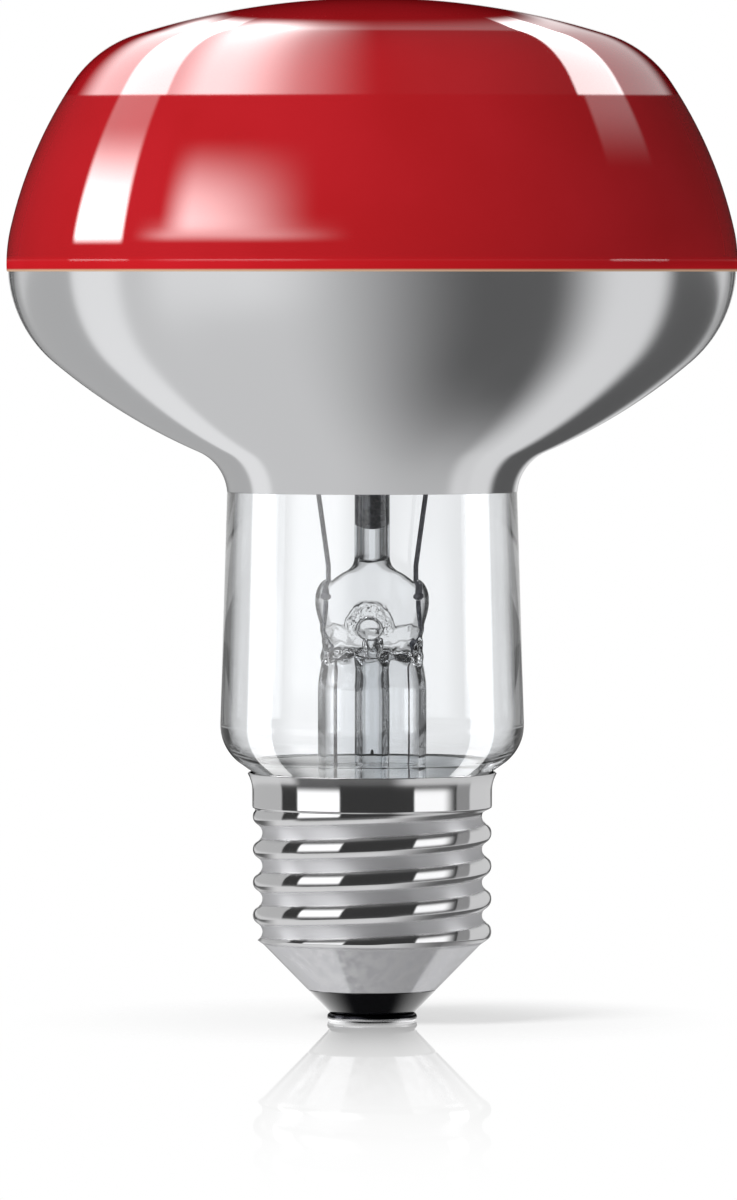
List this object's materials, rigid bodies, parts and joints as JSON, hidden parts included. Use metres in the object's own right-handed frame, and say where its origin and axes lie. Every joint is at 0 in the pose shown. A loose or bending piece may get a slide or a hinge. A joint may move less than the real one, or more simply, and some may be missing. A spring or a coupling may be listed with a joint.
{
  "type": "reflector bulb",
  "caption": "Incandescent reflector lamp with a red lacquered front, silvered bowl, clear neck, glass stem and a screw cap with a centre contact.",
  "frame": {"origin": "on the bulb's axis at the underside of the centre contact, the plane it stands on", "axes": "+Z along the bulb's axis from the contact to the crown; the blow hole in the stem faces -Y, the soldered rim is at +Y"},
  "size_m": [0.08, 0.08, 0.1121],
  "materials": {
    "clear_glass": "clear blown glass, polished",
    "stem_glass": "clear melted glass",
    "mirror_film": "vapour-deposited aluminium seen through glass",
    "red_lacquer": "glossy translucent red lacquer",
    "lead_wire": "dull nickel wire",
    "seal_wire": "copper-sheathed seal wire in glass",
    "copper_wire": "bare copper wire",
    "support_wire": "drawn molybdenum wire",
    "tungsten": "wound tungsten coil",
    "dark_pin": "dark grey metal pin",
    "cap_metal": "bright nickel-plated sheet, satin cone",
    "black_glass": "glossy black insulating glass",
    "contact_metal": "tinned contact plate",
    "solder": "bright solder",
    "cement": "matte cap cement"
  },
  "bodies": {
    "root": {"glass_envelope": "clear_glass", "stem_flare": "stem_glass", "exhaust_tube": "stem_glass", "arbor_rod": "stem_glass", "mirror_coating": "mirror_film", "red_lacquer": "red_lacquer", "inner_lead_left": "lead_wire", "inner_lead_right": "lead_wire", "seal_wire_left": "seal_wire", "seal_wire_right": "seal_wire", "contact_lead": "copper_wire", "side_lead": "copper_wire", "support_wire_1": "support_wire", "support_wire_2": "support_wire", "support_wire_3": "support_wire", "filament": "tungsten", "rod_core": "dark_pin", "cap_shell": "cap_metal", "cap_insulator": "black_glass", "centre_contact": "contact_metal", "contact_solder": "solder", "side_solder": "solder", "cap_cement": "cement"}
  },
  "joints": []
}
